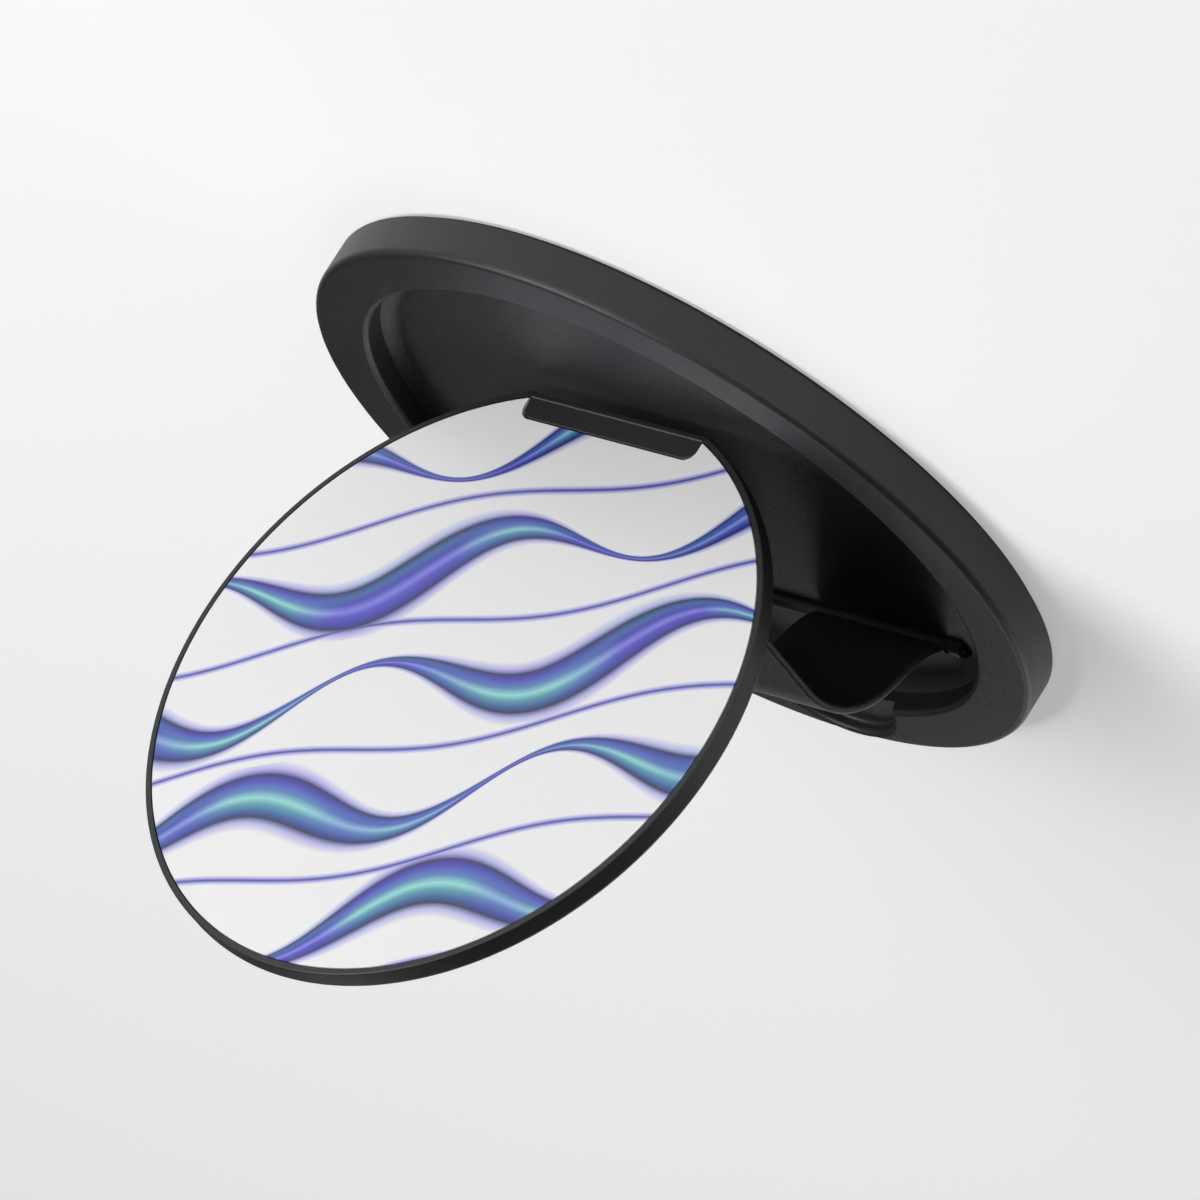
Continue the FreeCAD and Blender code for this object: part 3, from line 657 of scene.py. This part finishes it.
def makeDisc(look):
    radius = discHigh.x
    chord = math.sqrt(radius ** 2 - look["chordHalf"] ** 2)
    ledgeHalf = look["chordHalf"] - look["lip"]
    ledgeInside = chord - look["ledge"]
    lipRadius = radius - look["lip"]
    tray = roundDisc("discTray", radius, 0.0, look["thick"], look["steps"])
    pickEdges(tray, lambda co: near(co.z, 0.0))
    roundPicked(*look["backRound"])
    editMode(tray)
    bpy.ops.mesh.select_all(action="SELECT")
    bpy.ops.mesh.bisect(plane_co=(0.0, chord, 0.0), plane_no=(0.0, 1.0, 0.0), use_fill=True,
                        clear_outer=True, threshold=cutSlack)
    bpy.ops.object.mode_set(mode="OBJECT")
    clear = 2 * look["thick"]
    well = notchedDisc("plateWell", look, lipRadius, ledgeHalf, ledgeInside,
                       look["thick"] - look["seat"], clear)
    combine(tray, well, "DIFFERENCE")
    ledgeTop = look["thick"] - look["ledgeDrop"]
    ridgeFoot = chord - look["ridge"]
    shave = block("ledgeCutter", (-ledgeHalf, ledgeInside - mm, ledgeTop), (ledgeHalf, ridgeFoot, clear))
    pickEdges(shave, lambda co: near(co.y, ridgeFoot) and near(co.z, clear))
    bpy.ops.transform.translate(value=(0.0, clear - ledgeTop, 0.0))     # leans the ridge's inner side
    combine(tray, shave, "DIFFERENCE")
    # both edges of the straight cut are bevelled by a bar turned on its edge
    bar = look["bar"]
    for height, way, depth in ((0.0, -1, look["straightBevel"]), (look["thick"], 1, look["ledgeBevel"])):
        plane = block("bevelCutter", (-0.5 * radius, -bar, -bar), (0.5 * radius, bar, bar))
        plane.rotation_euler.x = math.pi / 4
        outwards = Vector((0.0, 1.0, way)).normalized()
        plane.location = Vector((0.0, chord - depth, height)) + outwards * bar
        applyPlace(plane)
        combine(tray, plane, "DIFFERENCE")
    pickEdges(tray, lambda co: near(co.y, chord - look["ledgeBevel"]) and near(co.z, look["thick"]))
    roundPicked(*look["ridgeEdge"])
    pickEdges(tray, lambda co: near(co.z, ledgeTop) and co.y < chord - look["straightBevel"]
              and (near(co.y, ledgeInside, look["ledgeRound"][0]) or near(abs(co.x), ledgeHalf)))
    roundPicked(*look["ledgeEdge"])
    pickEdges(tray, lambda co: near(co.z, look["thick"]) and near(math.hypot(co.x, co.y), radius, ringSlack))
    roundPicked(*look["lipRound"])
    grooveX, grooveY, grooveDeep = look["groove"]
    hingeY = discCentre.z - headZ
    hingeZ = headY - (discCentre.y - look["thick"])
    groove = block("grooveCutter", (-grooveX, hingeY - grooveY, -mm),
                   (grooveX, hingeY + grooveY, grooveDeep))
    combine(tray, groove, "DIFFERENCE")
    addLugs(tray, hingeLug, hingeY, hingeZ, grooveDeep)
    standUp(tray)
    finishPiece(tray, satinAbs, "disc", ["disc_tray"])
    gap = look["plateGap"]
    plate = notchedDisc("facePlate", look, lipRadius - gap, ledgeHalf + gap, ledgeInside - gap,
                        look["thick"] - look["plateThick"], look["thick"])
    pickEdges(plate, lambda co: near(co.z, look["thick"]))
    roundPicked(*look["plateRound"])
    standUp(plate)
    finishPiece(plate, printedFace, "disc", ["face_plate"])


makeDisc(discForm)

# Pieces that keep their shape from the frame, by a word in their names
innerFinishes = {
    "_pin": pinSteel,
    "_washers": washerAcetal,
    "magnet": magnetNickel,
    "shield_ring": shieldZinc,
    "channel_cover": coverFilm,
    "plate_tape": tapeFoam,
}
for name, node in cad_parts.items():
    for word, finish in innerFinishes.items():
        if word in name:
            node.data.materials.clear()
            node.data.materials.append(finish)
print("inner pieces dressed")

studio = {
    "floor": "#dededf",
    "floorSize": 4.0,
    "floorGap": 0.02 * mm,       # under the pad
    "floorShader": {"Roughness": 0.9, "Specular IOR Level": 0.2},
    "lift": 0.36,                # how much paler the floor looks than the light makes it
    "white": "#ffffff",
    "sky": (0.08, 0.5),          # behind the disc and before its face
    "skySpan": (-0.3, 0.8),
    "overhead": 0.3,             # share of it that is left overhead
    "overheadSpan": (0.2, 0.7),
    # where each soft light stands, what it points at, its size and power
    "lights": {
        "keyLight": {"place": (-0.15, 0.66, 0.26), "aim": (0.0, 0.0, 0.02), "size": 0.45, "power": 1.35},
        "sideLight": {"place": (-0.20, 0.30, 0.45), "aim": (-0.01, 0.01, 0.0), "size": 0.22, "power": 2.0},
        "lowLight": {"place": (0.52, 0.40, 0.05), "aim": (0.0, 0.0, 0.01), "size": 0.25, "power": 0.6},
        "backLight": {"place": (0.0, -0.66, 0.10), "aim": (0.0, 0.0, 0.02), "size": 0.40, "power": 0.8},
        "glanceLight": {"place": (-0.26, -0.48, 0.29), "aim": (-0.01, 0.0, 0.0), "size": 0.2, "power": 0.2},
    },
}


def makeStudio(look):
    clearSelection()
    bpy.ops.mesh.primitive_plane_add(size=look["floorSize"], location=(0.0, 0.0, padLow.z - look["floorGap"]))
    floor = bpy.context.object
    floor.name = "floor"
    # Paper, matte coated: pale and dull, with the soft shadow of what stands on it
    material, tree, shader = newMaterial("matteCoatedPaper")[:3]
    shader.inputs["Base Color"].default_value = hexColour(look["floor"])
    for socket, setting in look["floorShader"].items():
        shader.inputs[socket].default_value = setting
    # what the camera and reflections see of the floor is paler than the low light makes it
    rays = addNode(tree, "ShaderNodeLightPath")
    seen = rays.outputs["Is Camera Ray"]
    for kind in ("Is Glossy Ray", "Is Transmission Ray"):
        either = addNode(tree, "ShaderNodeMath", {"operation": "MAXIMUM"}, {0: seen, 1: rays.outputs[kind]})
        seen = either.outputs["Value"]
    lift = addNode(tree, "ShaderNodeMath", {"operation": "MULTIPLY", 1: look["lift"]}, {0: seen})
    tree.links.new(lift.outputs["Value"], shader.inputs["Emission Strength"])
    shader.inputs["Emission Color"].default_value = hexColour(look["white"])
    floor.data.materials.append(material)
    world = bpy.data.worlds.new("studio")
    bpy.context.scene.world = world
    world.use_nodes = True
    tree = world.node_tree
    tree.nodes["Background"].inputs["Color"].default_value = hexColour(look["white"])
    skyPlace = addNode(tree, "ShaderNodeTexCoord")
    sides = addNode(tree, "ShaderNodeSeparateXYZ", links={"Vector": skyPlace.outputs["Generated"]})
    sky = addNode(tree, "ShaderNodeMapRange", {
        "From Min": look["skySpan"][0], "From Max": look["skySpan"][1],
        "To Min": look["sky"][0], "To Max": look["sky"][1],
    }, {"Value": sides.outputs["Y"]})
    overhead = addNode(tree, "ShaderNodeMapRange", {
        "From Min": look["overheadSpan"][0], "From Max": look["overheadSpan"][1],
        "To Min": 1.0, "To Max": look["overhead"],
    }, {"Value": sides.outputs["Z"]})
    glow = addNode(tree, "ShaderNodeMath", {"operation": "MULTIPLY"}, {
        0: sky.outputs["Result"], 1: overhead.outputs["Result"],
    })
    tree.links.new(glow.outputs["Value"], tree.nodes["Background"].inputs["Strength"])
    for name, light in look["lights"].items():
        bpy.ops.object.light_add(type="AREA", location=light["place"])
        lamp = bpy.context.object
        lamp.name = name
        lamp.data.size = light["size"]
        lamp.data.energy = light["power"]
        lamp.visible_camera = False
        way = Vector(light["aim"]) - Vector(light["place"])
        lamp.rotation_euler = way.to_track_quat("-Z", "Y").to_euler()


makeStudio(studio)

photoView = {
    "place": Vector((0.5810, 0.5945, 0.2827)),
    "up": Vector((-0.196780, 0.563876, -0.802073)),
    "aim": Vector((0.0017, 0.0025, 0.0129)),
    "lens": 385.0,
    "reach": 20.0,               # how far the camera sees
}


def makeCamera(look):
    bpy.ops.object.camera_add(location=look["place"])
    camera = bpy.context.object
    camera.name = "photoCamera"
    back = (look["place"] - look["aim"]).normalized()
    right = look["up"].cross(back).normalized()
    up = back.cross(right)
    turn = Matrix((right, up, back)).transposed()
    camera.rotation_euler = turn.to_euler()
    camera.data.lens = look["lens"]
    camera.data.clip_end = look["reach"]
    bpy.context.scene.camera = camera


makeCamera(photoView)
bpy.context.scene.view_settings.view_transform = "Standard"
print("studio and camera ready")
